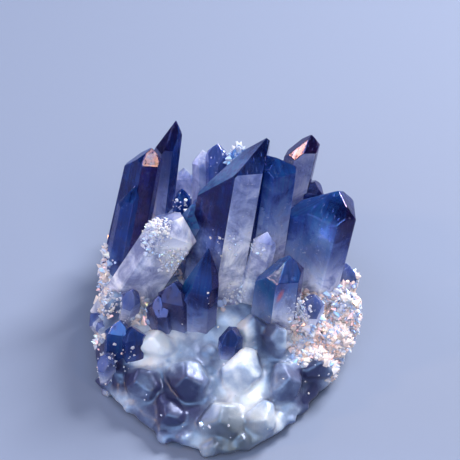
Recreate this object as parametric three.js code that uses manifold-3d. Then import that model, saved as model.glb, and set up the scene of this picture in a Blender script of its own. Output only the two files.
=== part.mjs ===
// A cluster of tanzine aura quartz: long six-sided quartz points standing on a lumpy bed of small
// ones, all grown together as one piece. Millimetres, +Z up, +Y away from the pointed front.
// The origin is the middle of the cluster's outer box, on the flat cut that it rests on.
import * as THREE from "three";
import { mergeVertices } from "three/addons/utils/BufferGeometryUtils.js";
import Module from "manifold-3d";

const wasm = await Module();
wasm.setup();

// ---------------------------------------------------------------- driving dimensions

// A quartz point closes with faces that stand this steeply on its own cross-section.
const FACE_SLOPE = 51.8;
// How far the long points and the short ones are carried down into the bed below their feet.
const LONG_ROOT = 5;
const SHORT_ROOT = 2.5;
// How far the small closing faces of a point stand back from its tip as a share of its first side
// distance, unless the point says how many millimetres.
const MINOR_SHARE = 0.35;
// How far, as a share, the six sides of a point that gives one distance stray from that distance.
const UNEVEN_SHARE = 0.2;
// How much wider a point is at its foot than at its head, unless a point says.
const FLARE = 1.15;

// The long points. foot and tip are two points on the line through the tip along the crystal's own
// length. sides are the distances of its six side faces from that line at the head: one number
// for a nearly regular shaft, or six, the first facing turn degrees round from +X and each next
// one 60 degrees further round. Faces 1, 3 and 5 carry the large closing faces, and minor is how
// far the small closing faces over faces 2, 4 and 6 stand back from the tip.
const LONG_POINTS = {
  mainBlade: {
    foot: [2.5, -4, 9], tip: [7.7, 0.8, 46], turn: 50,
    sides: [3, 4, 10.5, 7.9, 4, 0.7], minor: [0, 4.5, 0.5], flare: 1.04,
  },
  secondBlade: {
    foot: [6.3, -3, 9], tip: [9.6, 0.6, 41.5], turn: 62,
    sides: [3.4, 3.4, 2.2, 3.2, 2.8, 3.9], slope: 40, minor: 1.5, flare: 1.05,
  },
  leftOuterBlade: {
    foot: [-19.5, 6, 9], tip: [-13.9, 9, 37], turn: 40,
    sides: [2.2, 3, 4.4, 2.5, 2.2, 2.2], flare: 1.25,
  },
  leftPaleBlade: {
    foot: [-21.5, 4, 8], tip: [-17.2, 5.5, 30.5], turn: 20,
    sides: [1, 1.6, 2.4, 2.2, 1.4, 1], slope: 66, flare: 1.3,
  },
  leftSpire: {
    foot: [-12.8, 15, 10], tip: [-9.4, 15, 39], turn: 30,
    sides: [1.5, 1.6, 3.9, 3, 2.4, 1.2], slope: 68, flare: 1.05,
  },
  rightBlade: {
    foot: [12.2, 9.5, 10], tip: [16.6, 9.2, 40], turn: 40,
    sides: [1.6, 2.4, 4, 3.6, 2, 1.8], slope: 55, flare: 1.05,
  },
  rightFarBlade: { foot: [15, 11, 10], tip: [17.4, 8.5, 29], turn: 10, sides: 2.4 },
  rightBlock: {
    foot: [17, -3, 8], tip: [21.6, 1.2, 33], turn: 0,
    sides: [3.9, 4.5, 5.6, 8.4, 4.9, 5.2], slope: 42, minor: [1, 0.5, 1.5], flare: 1.05,
  },
  frontSpike: {
    foot: [-4.6, -11, 7], tip: [-2.9, -11.6, 30], turn: 15,
    sides: [1.8, 2.8, 3.2, 4.6, 3, 2.8], slope: 71, flare: 1.2,
  },
  rightFrontPoint: {
    foot: [10.8, -11.5, 7], tip: [12.3, -10.6, 27], turn: 40,
    sides: [2.2, 3.2, 5.7, 4, 3, 2.6], flare: 1.1,
  },
  leftTiltedBlade: {
    foot: [-19.5, -4.5, 9], tip: [-7.8, -4, 31], turn: 34,
    sides: [3.6, 3.5, 4.4, 4.6, 3, 4.6], slope: 46, flare: 1.05,
  },
  middleBlade: {
    foot: [-4.5, 0, 10], tip: [-5, -1, 33], turn: 25,
    sides: [3.4, 3, 2.6, 3.6, 3, 3.6], slope: 58,
  },
  leftKnob: { foot: [-9, 1.5, 10], tip: [-8, 1.2, 33.5], turn: 45, sides: 1.5, slope: 60 },
};

// Shorter points between and around the long ones, with the same values.
const SHORT_POINTS = {
  bladeChip: { foot: [5.2, -7.2, 15], tip: [8, -6, 29], turn: 20, sides: 1.7 },
  leftFootPoint: { foot: [-19.5, -10, 7], tip: [-17.6, -11, 18.5], turn: 10, sides: 2 },
  leftFootStub: { foot: [-21.5, -9, 7], tip: [-21, -9.5, 17], turn: 50, sides: 2.2 },
  leftNavyPoint: { foot: [-20.5, -17, 4], tip: [-19.8, -15.5, 15], turn: 20, sides: 2.1 },
  leftNavyTwin: { foot: [-17.5, -17, 5], tip: [-17.2, -17.5, 15], turn: 45, sides: 1.8 },
  leftLowPoint: { foot: [-22, -19.5, 3], tip: [-22.5, -20.5, 11], turn: 5, sides: 1.8 },
  darkStub: { foot: [-9.5, -11, 7], tip: [-9.5, -11.5, 21], turn: 15, sides: 2.7 },
  darkStubTwin: { foot: [-12, -12.5, 6], tip: [-12.5, -12, 18], turn: 35, sides: 2.2 },
  frontBluePoint: { foot: [1, -17, 7], tip: [1.3, -18.4, 15.5], turn: 25, sides: 2 },
  frontDarkPoint: { foot: [9.5, -16, 6], tip: [10, -18, 16], turn: 55, sides: 2.3 },
  frontCrestStub: { foot: [5, -14, 6], tip: [5.4, -15.4, 16], turn: 40, sides: 2.4 },
  frontBrightStub: { foot: [3, -20, 3], tip: [3.6, -24.6, 12.6], turn: 12, sides: 3.7, slope: 42 },
  frontGreyStub: { foot: [-6, -21, 3], tip: [-7.4, -26, 10.8], turn: 35, sides: 3.6, slope: 42 },
  frontShoulderStub: { foot: [10, -22, 3], tip: [12.2, -26, 10.4], turn: 50, sides: 3.2, slope: 42 },
  noseStub: { foot: [-0.5, -28, 1], tip: [-1, -34, 7.6], turn: 20, sides: 3.3, slope: 40 },
  noseRightStub: { foot: [6, -28, 1], tip: [7.6, -33, 6.6], turn: 5, sides: 3, slope: 40 },
  noseLeftStub: { foot: [-8.5, -27, 1], tip: [-11, -31.4, 6], turn: 48, sides: 2.8, slope: 42 },
  leftFrontStub: { foot: [-14, -20.5, 3], tip: [-17, -25.4, 8.4], turn: 22, sides: 3, slope: 42 },
  leftCrestStub: { foot: [-12.5, -15, 5], tip: [-13.4, -18.5, 13.6], turn: 8, sides: 2.7, slope: 46 },
  rightFrontStub: { foot: [15.5, -17, 3], tip: [18.6, -21, 9.4], turn: 33, sides: 3, slope: 42 },
  rightLowStub: { foot: [19, -11.5, 3], tip: [22.8, -14.6, 10.6], turn: 16, sides: 2.8, slope: 46 },
  rightNotchPoint: { foot: [16, -12, 6], tip: [17, -13, 19], turn: 30, sides: 2.2 },
  rightRimPoint: { foot: [22, -8, 5], tip: [24.6, -8.5, 14.5], turn: 15, sides: 2.3 },
  rightRimTwin: { foot: [21, -2, 6], tip: [24.2, -2.5, 17], turn: 40, sides: 2.2 },
  valleyPoint: { foot: [-3, 9, 9], tip: [-3.4, 10.5, 25], turn: 12, sides: 2.6 },
  valleyRightPoint: { foot: [4.5, 10, 9], tip: [5.6, 12, 28], turn: 47, sides: 3 },
  valleyFarPoint: { foot: [11, 15, 8], tip: [13, 18, 24], turn: 28, sides: 2.6 },
  valleyLeftPoint: { foot: [-8.5, 10, 9], tip: [-8.8, 11, 22], turn: 33, sides: 2.2 },
  valleyLowPoint: { foot: [0.5, 14, 9], tip: [0.8, 16, 21], turn: 52, sides: 2.5 },
  backTallPoint: { foot: [-2, 17, 9], tip: [-1.5, 21.5, 28], turn: 10, sides: 2.4 },
  backTallTwin: { foot: [2, 16, 9], tip: [2.8, 20, 29], turn: 35, sides: 2.6 },
  backMiddlePoint: { foot: [-4.5, 18, 8], tip: [-4.6, 24.5, 24], turn: 50, sides: 2.2 },
  backRidgePoint: { foot: [-8, 20, 8], tip: [-8.6, 26, 18], turn: 20, sides: 2.1 },
  backLeftPoint: { foot: [-15, 15, 7], tip: [-19, 20, 21], turn: 5, sides: 2.6 },
  backOuterPoint: { foot: [-12, 21, 6], tip: [-15, 27, 15], turn: 25, sides: 2.4 },
  backLowPoint: { foot: [-2, 23, 5], tip: [-2, 29.4, 14], turn: 40, sides: 2.5 },
  backRightPoint: { foot: [8, 18, 8], tip: [10.5, 24, 21], turn: 15, sides: 2.7 },
  backRightLowPoint: { foot: [7, 22, 5], tip: [9.5, 28.6, 13], turn: 45, sides: 2.4 },
  farRightPoint: { foot: [15, 15, 6], tip: [19.6, 19, 18], turn: 30, sides: 2.6 },
  farRightLowPoint: { foot: [18, 8, 6], tip: [23, 11, 16.5], turn: 10, sides: 2.4 },
};

// The bed is a low mound. These are the corners of its outline in plan, from the pointed front
// round by the right side, and the mound runs smoothly through them.
const BED_OUTLINE = [
  [0.5, -37], [7.5, -34], [15, -26.5], [20.5, -19], [23.5, -10.5], [25, -3], [23.5, 6.5],
  [20.5, 16.5], [14.5, 24.5], [5, 29.5], [-5.5, 29.5], [-14.5, 25.5], [-20, 17.5], [-22.5, 7.5],
  [-24.5, -2], [-25.3, -13], [-22, -22.5], [-14, -31], [-6, -35.5],
];
const BED_MIDDLE = [0, -3];
// The mound's section, from the middle of its flat underside to the middle of its top: how far out
// towards the outline, and how high as a share of the crest.
const BED_SECTION = [
  [0, 0], [0.87, 0], [0.97, 0.15], [1, 0.35], [0.95, 0.58], [0.83, 0.76], [0.62, 0.89],
  [0.34, 0.97], [0, 1],
];
// The stretch of that section, counted in its corners, that small crystals stand on.
const DRUZE_BAND = [2.4, 6.8];
const BED_CREST = 12;
// The crest sinks towards the pointed front: its height there as a share of the full height, and
// the two places along Y between which it sinks.
const FRONT_CREST = 0.5;
const FRONT_Y = -34;
const CREST_Y = -8;
// Segments round the bed, and how far its surface wanders in and out.
const BED_SEGMENTS = 30;
const BED_RELIEF = 1.1;

// The small crystals that cover the bed: how many, how long they stand out of it, and how thick
// they are for their length.
const DRUZE_COUNT = 88;
const DRUZE_LENGTH = [1.8, 3.8];
const DRUZE_SLENDERNESS = [0.34, 0.5];
const DRUZE_ROOT = 1.5;
// They keep this far, in plan, from the foot of a long point, and point no lower than this.
const DRUZE_CLEARANCE = 4.5;
const DRUZE_LOWEST = 0.12;
const DRUZE_SEED = 7;

// The outer box's middle in plan, which becomes the origin.
const BOX_MIDDLE = [0, -2.9];
// The block that is cut away under the cluster: how wide and how deep it is.
const CUT_WIDTH = 200;
const CUT_DEPTH = 30;
// Corners nearer to each other than this are one corner.
const WELD = 1e-4;

// ---------------------------------------------------------------- shapes into solids and back

// A closed three.js shape as a solid that can be joined and cut.
function solid(geometry) {
  const bare = geometry.clone();
  bare.deleteAttribute("normal");
  bare.deleteAttribute("uv");
  const merged = mergeVertices(bare, WELD);
  return new wasm.Manifold(
    new wasm.Mesh({
      numProp: 3,
      vertProperties: merged.attributes.position.array,
      triVerts: new Uint32Array(merged.index.array),
    }),
  );
}

// A solid as a flat-shaded three.js shape.
function shape(joined) {
  const mesh = joined.getMesh();
  const indexed = new THREE.BufferGeometry();
  indexed.setAttribute("position", new THREE.BufferAttribute(mesh.vertProperties, 3));
  indexed.setIndex(new THREE.BufferAttribute(mesh.triVerts, 1));
  const flat = indexed.toNonIndexed();
  flat.computeVertexNormals();
  return flat;
}

// ---------------------------------------------------------------- one crystal

// The frame of a crystal whose length runs from foot to tip: its third axis is that direction and
// its first lies as near +X as it can.
function crystalFrame(foot, tip) {
  const along = new THREE.Vector3(...tip).sub(new THREE.Vector3(...foot));
  const length = along.length();
  along.normalize();
  const across = new THREE.Vector3(1, 0, 0).addScaledVector(along, -along.x).normalize();
  const depth = new THREE.Vector3().crossVectors(along, across);
  const matrix = new THREE.Matrix4().makeBasis(across, depth, along).setPosition(...foot);
  return { matrix, length };
}

// The six corners of a shaft whose side faces lie at the given distances from its line.
function shaftCorners(sides, turn, scale) {
  const step = Math.PI / 3;
  return sides.map((distance, index) => {
    const next = sides[(index + 1) % 6];
    const angle = THREE.MathUtils.degToRad(turn) + index * step;
    const slide = (next - distance * Math.cos(step)) / Math.sin(step);
    const x = distance * Math.cos(angle) - slide * Math.sin(angle);
    const y = distance * Math.sin(angle) + slide * Math.cos(angle);
    return [x * scale, y * scale];
  });
}

// A six-sided shaft from z = bottom to z = top, its two ends scaled copies of one outline.
function shaft(sides, turn, bottom, top, flare) {
  const tube = new THREE.CylinderGeometry(1, 1, 1, 6, 1);
  tube.rotateX(Math.PI / 2);
  const low = shaftCorners(sides, turn, flare);
  const high = shaftCorners(sides, turn, 1);
  const place = tube.attributes.position;
  for (let i = 0; i < place.count; i++) {
    const isTop = place.getZ(i) > 0;
    const ring = isTop ? high : low;
    const middle = Math.hypot(place.getX(i), place.getY(i)) < 0.5;
    const sixth = Math.round(Math.atan2(place.getY(i), place.getX(i)) / (Math.PI / 3) - 0.5);
    const corner = middle ? [0, 0] : ring[(sixth + 6) % 6];
    place.setXYZ(i, corner[0], corner[1], isTop ? top : bottom);
  }
  return tube;
}

// Six side distances that stray from one, differently for each turn.
function unevenSides(distance, turn) {
  return [0, 1, 2, 3, 4, 5].map((k) => distance * (1 + UNEVEN_SHARE * Math.sin(turn + 2.4 * k)));
}

// A three-sided pyramid, point up, whose faces look turn, turn + 120 and turn + 240 degrees round.
// Over the middle line they stand higher than z = top by the three given amounts.
function pyramid(top, turn, slope, standBack, height) {
  const rise = Math.tan(THREE.MathUtils.degToRad(slope));
  const apex = new THREE.Vector2(0, 0);
  standBack.forEach((amount, index) => {
    const angle = THREE.MathUtils.degToRad(turn + 120 * index);
    const push = (2 * amount) / (3 * rise);
    apex.x += push * Math.cos(angle);
    apex.y += push * Math.sin(angle);
  });
  const lift = (standBack[0] + standBack[1] + standBack[2]) / 3;
  const cone = new THREE.ConeGeometry((2 * height) / rise, height, 3);
  cone.rotateX(Math.PI / 2);
  cone.rotateZ(THREE.MathUtils.degToRad(turn + 30));
  cone.translate(apex.x, apex.y, top + lift - height / 2);
  return cone;
}

// A quartz point: the shaft closed by three large and three small faces, and carried down into the
// bed by the depth of its root.
function crystal(point, root) {
  const { matrix, length } = crystalFrame(point.foot, point.tip);
  const sides = Array.isArray(point.sides) ? point.sides : unevenSides(point.sides, point.turn);
  const slope = point.slope ?? FACE_SLOPE;
  const minor = point.minor ?? MINOR_SHARE * sides[0];
  const standBack = Array.isArray(minor) ? minor : Array(3).fill(minor);
  const reach = 4 * (length + root);
  const body = solid(shaft(sides, point.turn, -root, length + 2, point.flare ?? FLARE));
  const large = solid(pyramid(length, point.turn, slope, [0, 0, 0], reach));
  const small = solid(pyramid(length, point.turn + 60, slope, standBack, reach));
  const closed = body.intersect(large).intersect(small);
  return closed.transform(matrix.elements);
}

// ---------------------------------------------------------------- the bed

// A smooth unevenness between -1 and 1 that depends only on the place.
function unevenness(x, y, z) {
  const coarse = Math.sin(0.31 * x + 1.3) * Math.sin(0.27 * y + 0.4) * Math.cos(0.33 * z);
  const fine = Math.sin(0.83 * x + 0.7 * z) * Math.cos(0.91 * y - 0.5 * z + 2.1);
  return 0.6 * coarse + 0.4 * fine;
}

const outline = new THREE.CatmullRomCurve3(
  BED_OUTLINE.map(([x, y]) => new THREE.Vector3(x, y, 0)),
  true,
);
const middle = new THREE.Vector3(...BED_MIDDLE, 0);

// The place on the bed a share around of the way round its outline and a share out of the way out
// to it, at a share up of the crest's height there.
function bedPlace(around, out, up) {
  const place = outline.getPoint(around).lerp(middle, 1 - out);
  const front = THREE.MathUtils.smoothstep(place.y, FRONT_Y, CREST_Y);
  place.z = up * BED_CREST * THREE.MathUtils.lerp(FRONT_CREST, 1, front);
  if (up > 0) {
    const relief = BED_RELIEF * unevenness(place.x, place.y, place.z);
    const outward = place.clone().sub(middle).setZ(0).normalize();
    place.addScaledVector(outward, relief * out);
    place.z += relief * up;
  }
  return place;
}

// The mound: a turned section whose rings are drawn out to the outline.
function bed() {
  const section = BED_SECTION.map(([out, up]) => new THREE.Vector2(out, up));
  const mound = new THREE.LatheGeometry(section, BED_SEGMENTS);
  const place = mound.attributes.position;
  for (let i = 0; i < place.count; i++) {
    const out = Math.hypot(place.getX(i), place.getZ(i));
    const angle = Math.atan2(place.getX(i), place.getZ(i));
    const around = (angle / (2 * Math.PI) + 1) % 1;
    const spot = bedPlace(around, out, place.getY(i));
    place.setXYZ(i, spot.x, spot.y, spot.z);
  }
  return solid(mound);
}

// ---------------------------------------------------------------- the small crystals

// Repeatable chance: each call gives the next number between 0 and 1.
function chance(seed) {
  let state = seed;
  return () => {
    state = (Math.imul(state, 1664525) + 1013904223) >>> 0;
    return state / 4294967296;
  };
}

// A height up the bed's section at which the surface lies the given share out.
function sectionAt(step) {
  const index = Math.min(Math.floor(step), BED_SECTION.length - 2);
  const share = step - index;
  const [outA, upA] = BED_SECTION[index];
  const [outB, upB] = BED_SECTION[index + 1];
  return [THREE.MathUtils.lerp(outA, outB, share), THREE.MathUtils.lerp(upA, upB, share)];
}

function isCovered(spot) {
  return Object.values(LONG_POINTS).some(({ foot }) => {
    return Math.hypot(foot[0] - spot.x, foot[1] - spot.y) < DRUZE_CLEARANCE;
  });
}

function druze() {
  const next = chance(DRUZE_SEED);
  const between = ([low, high]) => THREE.MathUtils.lerp(low, high, next());
  const crystals = [];
  while (crystals.length < DRUZE_COUNT) {
    const around = next();
    const step = between(DRUZE_BAND);
    const lean = new THREE.Vector3(next() - 0.5, next() - 0.5, next() * 0.8);
    const length = between(DRUZE_LENGTH);
    const half = length * between(DRUZE_SLENDERNESS);
    const turn = 60 * next();
    const [out, up] = sectionAt(step);
    const foot = bedPlace(around, out, up);
    if (isCovered(foot)) continue;
    const beside = bedPlace(around + 0.01, out, up).sub(foot);
    const [outHigher, upHigher] = sectionAt(step + 0.2);
    const above = bedPlace(around, outHigher, upHigher).sub(foot);
    const normal = new THREE.Vector3().crossVectors(beside, above).normalize();
    const direction = normal.addScaledVector(lean, 0.8).normalize();
    direction.z = Math.max(direction.z, DRUZE_LOWEST);
    const tip = foot.clone().addScaledVector(direction.normalize(), length * (0.6 + 0.4 * up));
    crystals.push({
      foot: foot.toArray(),
      tip: tip.toArray(),
      turn,
      sides: half,
      minor: 0,
      slope: 46,
    });
  }
  return crystals;
}

// ---------------------------------------------------------------- the cluster

let cluster = bed();
for (const point of Object.values(LONG_POINTS)) cluster = cluster.add(crystal(point, LONG_ROOT));
for (const point of Object.values(SHORT_POINTS)) cluster = cluster.add(crystal(point, SHORT_ROOT));
for (const point of druze()) cluster = cluster.add(crystal(point, DRUZE_ROOT));
// The cut that the cluster rests on takes off whatever reaches under the bed.
const under = new THREE.BoxGeometry(CUT_WIDTH, CUT_WIDTH, CUT_DEPTH).translate(0, 0, -CUT_DEPTH / 2);
cluster = cluster.subtract(solid(under)).translate(-BOX_MIDDLE[0], -BOX_MIDDLE[1], 0);

const quartz = new THREE.MeshStandardMaterial({ color: 0x5a5fa8, roughness: 0.15, metalness: 0 });
const mesh = new THREE.Mesh(shape(cluster), quartz);
mesh.name = "quartz_cluster";

const part = new THREE.Group();
part.add(mesh);

export default part;
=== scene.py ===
"""A tanzine aura quartz cluster: quartz points grown on one crusted bed, under a metal film."""
import math
import random

import bmesh
import bpy
from mathutils import Matrix, Vector, noise


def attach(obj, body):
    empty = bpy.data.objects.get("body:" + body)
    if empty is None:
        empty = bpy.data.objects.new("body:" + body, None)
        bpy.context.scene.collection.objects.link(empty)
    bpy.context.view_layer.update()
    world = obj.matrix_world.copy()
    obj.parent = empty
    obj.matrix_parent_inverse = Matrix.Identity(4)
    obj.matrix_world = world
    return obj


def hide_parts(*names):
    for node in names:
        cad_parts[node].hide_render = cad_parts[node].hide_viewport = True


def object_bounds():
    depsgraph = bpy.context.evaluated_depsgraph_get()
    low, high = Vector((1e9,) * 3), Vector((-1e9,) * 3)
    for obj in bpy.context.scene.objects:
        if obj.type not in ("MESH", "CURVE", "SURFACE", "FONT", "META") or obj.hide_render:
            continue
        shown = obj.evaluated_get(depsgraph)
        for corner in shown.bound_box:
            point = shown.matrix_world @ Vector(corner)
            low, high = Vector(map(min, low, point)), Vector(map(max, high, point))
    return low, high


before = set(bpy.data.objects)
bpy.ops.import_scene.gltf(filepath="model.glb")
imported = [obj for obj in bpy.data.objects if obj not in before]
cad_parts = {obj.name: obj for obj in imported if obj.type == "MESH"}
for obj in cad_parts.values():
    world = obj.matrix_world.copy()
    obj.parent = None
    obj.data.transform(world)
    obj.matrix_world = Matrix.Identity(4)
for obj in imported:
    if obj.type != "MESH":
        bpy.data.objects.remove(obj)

cad_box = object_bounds()

# ---------------------------------------------------------------- the view
# The piece is seen from in front of its low pointed end, from 42 degrees above the table. The lens
# is long, so that the upright points stay upright.

MM = 0.001
ELEVATION = math.radians(42)
VIEW_DISTANCE = 300 * MM
LOOK_AT = Vector((1.0, 2.9, 24.0)) * MM
LENS = 122.1

camera = bpy.data.objects.new("view", bpy.data.cameras.new("view"))
bpy.context.collection.objects.link(camera)
camera.data.lens = LENS
camera.data.clip_start = 10 * MM
toward_eye = Vector((0, -math.cos(ELEVATION), math.sin(ELEVATION)))
camera.location = LOOK_AT + toward_eye * VIEW_DISTANCE
camera.rotation_euler = (-toward_eye).to_track_quat("-Z", "Y").to_euler()
bpy.context.scene.camera = camera

# ---------------------------------------------------------------- the bed
# The bed is the milky quartz that all the points grew from: a low mound with a pointed front, sawn
# flat underneath and narrower at the cut than at its rim. Its skin is drawn over it further down.

# The cluster's numbers are in millimetres, from an origin this far from the middle of its box.
BOX_MIDDLE = Vector((0, -2.9, 0))
OUTLINE = [
    (0.5, -37), (7.5, -34), (15, -26.5), (20.5, -19), (23.5, -10.5), (25, -3), (23.5, 6.5),
    (20.5, 16.5), (14.5, 24.5), (5, 29.5), (-5.5, 29.5), (-14.5, 25.5), (-20, 17.5), (-22.5, 7.5),
    (-24.5, -2), (-25.3, -13), (-22, -22.5), (-14, -31), (-6, -35.5),
]
MIDDLE = Vector((0, -3, 0))
# The mound's section from the middle of its underside to the middle of its top: the share of the
# way out to the outline, and the share of the crest's height.
SECTION = [
    (0, 0), (0.87, 0), (0.97, 0.15), (1, 0.35), (0.95, 0.58), (0.83, 0.76), (0.62, 0.89),
    (0.34, 0.97), (0, 1),
]
CREST = 12.0
FRONT_CREST = 0.5
FRONT_Y = -34.0
CREST_Y = -8.0
RELIEF = 1.1
# The mound is carried this far below the saw cut, which then takes it off.
BELOW_CUT = 1.5
BED_SEGMENTS = 96
BED_RINGS = 64


def lerp(low, high, share):
    return low + (high - low) * share


def smoothstep(value, low, high):
    share = min(max((value - low) / (high - low), 0.0), 1.0)
    return share * share * (3 - 2 * share)


def outline_at(around):
    """The point a share of the way round the outline, on a smooth curve through its corners."""
    count = len(OUTLINE)
    place = (around % 1.0) * count
    index = int(place)
    t = place - index
    corners = [Vector((*OUTLINE[(index + k - 1) % count], 0)) for k in range(4)]
    spans = [max((corners[k + 1] - corners[k]).length, 1e-4) ** 0.5 for k in range(3)]
    tangents = []
    for k in (1, 2):
        before = (corners[k] - corners[k - 1]) / spans[k - 1]
        across = (corners[k + 1] - corners[k - 1]) / (spans[k - 1] + spans[k])
        after = (corners[k + 1] - corners[k]) / spans[k]
        tangents.append((before - across + after) * spans[1])
    start, end = corners[1], corners[2]
    square = -3 * start + 3 * end - 2 * tangents[0] - tangents[1]
    cube = 2 * start - 2 * end + tangents[0] + tangents[1]
    return start + tangents[0] * t + square * t * t + cube * t * t * t


def unevenness(x, y, z):
    coarse = math.sin(0.31 * x + 1.3) * math.sin(0.27 * y + 0.4) * math.cos(0.33 * z)
    fine = math.sin(0.83 * x + 0.7 * z) * math.cos(0.91 * y - 0.5 * z + 2.1)
    return 0.6 * coarse + 0.4 * fine


def section_at(step):
    """How far out and how high the section runs, a number of its corners along."""
    index = min(int(step), len(SECTION) - 2)
    share = step - index
    (out_a, up_a), (out_b, up_b) = SECTION[index], SECTION[index + 1]
    return lerp(out_a, out_b, share), lerp(up_a, up_b, share)


def bed_place(around, out, up):
    """A point of the mound's surface."""
    place = MIDDLE.lerp(outline_at(around), out)
    front = smoothstep(place.y, FRONT_Y, CREST_Y)
    place.z = up * CREST * lerp(FRONT_CREST, 1, front)
    if up > 0:
        relief = RELIEF * unevenness(*place)
        outward = (place - MIDDLE) * Vector((1, 1, 0))
        if outward.length > 0:
            place += outward.normalized() * relief * out
        place.z += relief * up
    return place


def bed_mesh():
    bed = bmesh.new()
    bmesh.ops.create_uvsphere(bed, u_segments=BED_SEGMENTS, v_segments=BED_RINGS, radius=1)
    steps = len(SECTION) - 1
    for corner in bed.verts:
        step = math.acos(max(-1.0, min(1.0, -corner.co.z))) / math.pi * steps
        around = math.atan2(corner.co.x, -corner.co.y) / (2 * math.pi)
        if step < 1:
            # Half of this first step runs out along the mound's foot, and half up its hidden wall.
            place = bed_place(around, SECTION[1][0] * min(2 * step, 1), 0)
            place.z = -BELOW_CUT * min(2 * (1 - step), 1)
        else:
            place = bed_place(around, *section_at(step))
        corner.co = place
    return bed


def linear(hex_colour):
    parts = [int(hex_colour[k:k + 2], 16) / 255 for k in (1, 3, 5)]
    return (*[c / 12.92 if c <= 0.04045 else ((c + 0.055) / 1.055) ** 2.4 for c in parts], 1)


def add(tree, kind, inputs=(), **settings):
    """Adds a node with its settings, and gives each input a value or another node's output."""
    made = tree.nodes.new(kind)
    for key, value in settings.items():
        if key == "steps":
            # Places and colours of a colour ramp.
            while len(made.color_ramp.elements) < len(value):
                made.color_ramp.elements.new(0.5)
            for element, (place, hex_colour) in zip(made.color_ramp.elements, value):
                element.position = place
                element.color = linear(hex_colour)
        else:
            setattr(made, key, value)
    for key, value in dict(inputs).items():
        if isinstance(value, bpy.types.NodeSocket):
            tree.links.new(value, made.inputs[key])
        else:
            made.inputs[key].default_value = value
    return made


def zoned_material(name):
    """A new material, its node tree, the place on the object, and the four numbers of the Zone."""
    made = bpy.data.materials.new(name)
    made.use_nodes = True
    tree = made.node_tree
    tree.nodes.clear()
    place = add(tree, "ShaderNodeTexCoord").outputs["Object"]
    zone = add(tree, "ShaderNodeAttribute", attribute_name="Zone")
    parts = add(tree, "ShaderNodeSeparateColor", {"Color": zone.outputs["Color"]}).outputs
    return made, tree, place, (parts[0], parts[1], parts[2], zone.outputs["Alpha"])


def per_mm(size):
    """The pattern scale, on object coordinates in metres, whose cells are size millimetres wide."""
    return 1000 / size


QUARTZ_INDEX = 1.544

# Milky quartz, grown and then slightly dissolved: clear glass full of tiny bubbles and veils. It
# looks white where it is lit and smoky blue where one sees into it.
milky, tree, place, (smoke_and_shade, nose_greyness, _, _) = zoned_material("milky_quartz")
# Veils 8 mm wide, torn into wisps, and a finer bubbly cloud a millimetre wide.
veils = add(tree, "ShaderNodeTexNoise", {
    "Vector": place, "Scale": per_mm(8), "Detail": 2.5, "Roughness": 0.45, "Distortion": 0.4})
bubbles = add(tree, "ShaderNodeTexNoise", {
    "Vector": place, "Scale": per_mm(1.0), "Detail": 3.0, "Roughness": 0.6})
# The skin's smoke share, partly painted shade, darkens the milk.
thin = add(tree, "ShaderNodeMath", {0: smoke_and_shade, 1: 0.5}, operation="SUBTRACT")
milk_share = add(tree, "ShaderNodeMath", {
    0: veils.outputs["Fac"], 1: thin.outputs[0]}, operation="SUBTRACT")
milk_share = add(tree, "ShaderNodeMath", {
    0: bubbles.outputs["Fac"], 1: 0.2, 2: milk_share.outputs[0]}, operation="MULTIPLY_ADD")
milk = add(tree, "ShaderNodeValToRGB", {"Fac": milk_share.outputs[0]}, steps=[
    (0.3, "#383d66"), (0.46, "#627297"), (0.6, "#96abc7"), (0.8, "#e0e9ef")])
# The skin is mixed towards a darker grey around the nose.
greyed_skin = add(tree, "ShaderNodeMix", {
    0: nose_greyness, 6: milk.outputs[0], 7: linear("#566069")}, data_type="RGBA")
see_through = add(tree, "ShaderNodeMapRange", {
    "Value": milk_share.outputs[0], "From Min": 0.4, "From Max": 0.7,
    "To Min": 0.42, "To Max": 0.12})
grit = add(tree, "ShaderNodeTexNoise", {"Vector": place, "Scale": per_mm(0.6), "Detail": 4.0})
bump = add(tree, "ShaderNodeBump", {
    "Height": grit.outputs["Fac"], "Strength": 0.25, "Distance": 0.1 * MM})
rough = add(tree, "ShaderNodeMapRange", {
    "Value": bubbles.outputs["Fac"], "From Min": 0.35, "From Max": 0.65,
    "To Min": 0.3, "To Max": 0.45})
shader = add(tree, "ShaderNodeBsdfPrincipled", {
    "Base Color": greyed_skin.outputs[2], "Roughness": rough.outputs[0], "IOR": QUARTZ_INDEX,
    "Transmission Weight": see_through.outputs[0], "Normal": bump.outputs[0],
    "Subsurface Weight": 0.6, "Subsurface Radius": (0.7, 0.85, 1.0), "Subsurface Scale": 2.5 * MM,
    "Thin Film Thickness": 188.0, "Thin Film IOR": 1.7})
murk = add(tree, "ShaderNodeVolumeAbsorption", {"Color": linear("#93a6de"), "Density": 70.0})
add(tree, "ShaderNodeOutputMaterial", {"Surface": shader.outputs[0], "Volume": murk.outputs[0]})

# ---------------------------------------------------------------- the long points
# Thirteen long quartz points stand on the bed. Each is a six-sided shaft closed by three large and
# three small faces, with narrow twins grown along it that end in steps below its tip.

# How steeply the closing faces stand on the shaft's cross-section, in degrees.
FACE_SLOPE = 51.8
LONG_ROOT = 5.0
MINOR_SHARE = 0.35
UNEVEN_SHARE = 0.2
FLARE = 1.15

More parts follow.
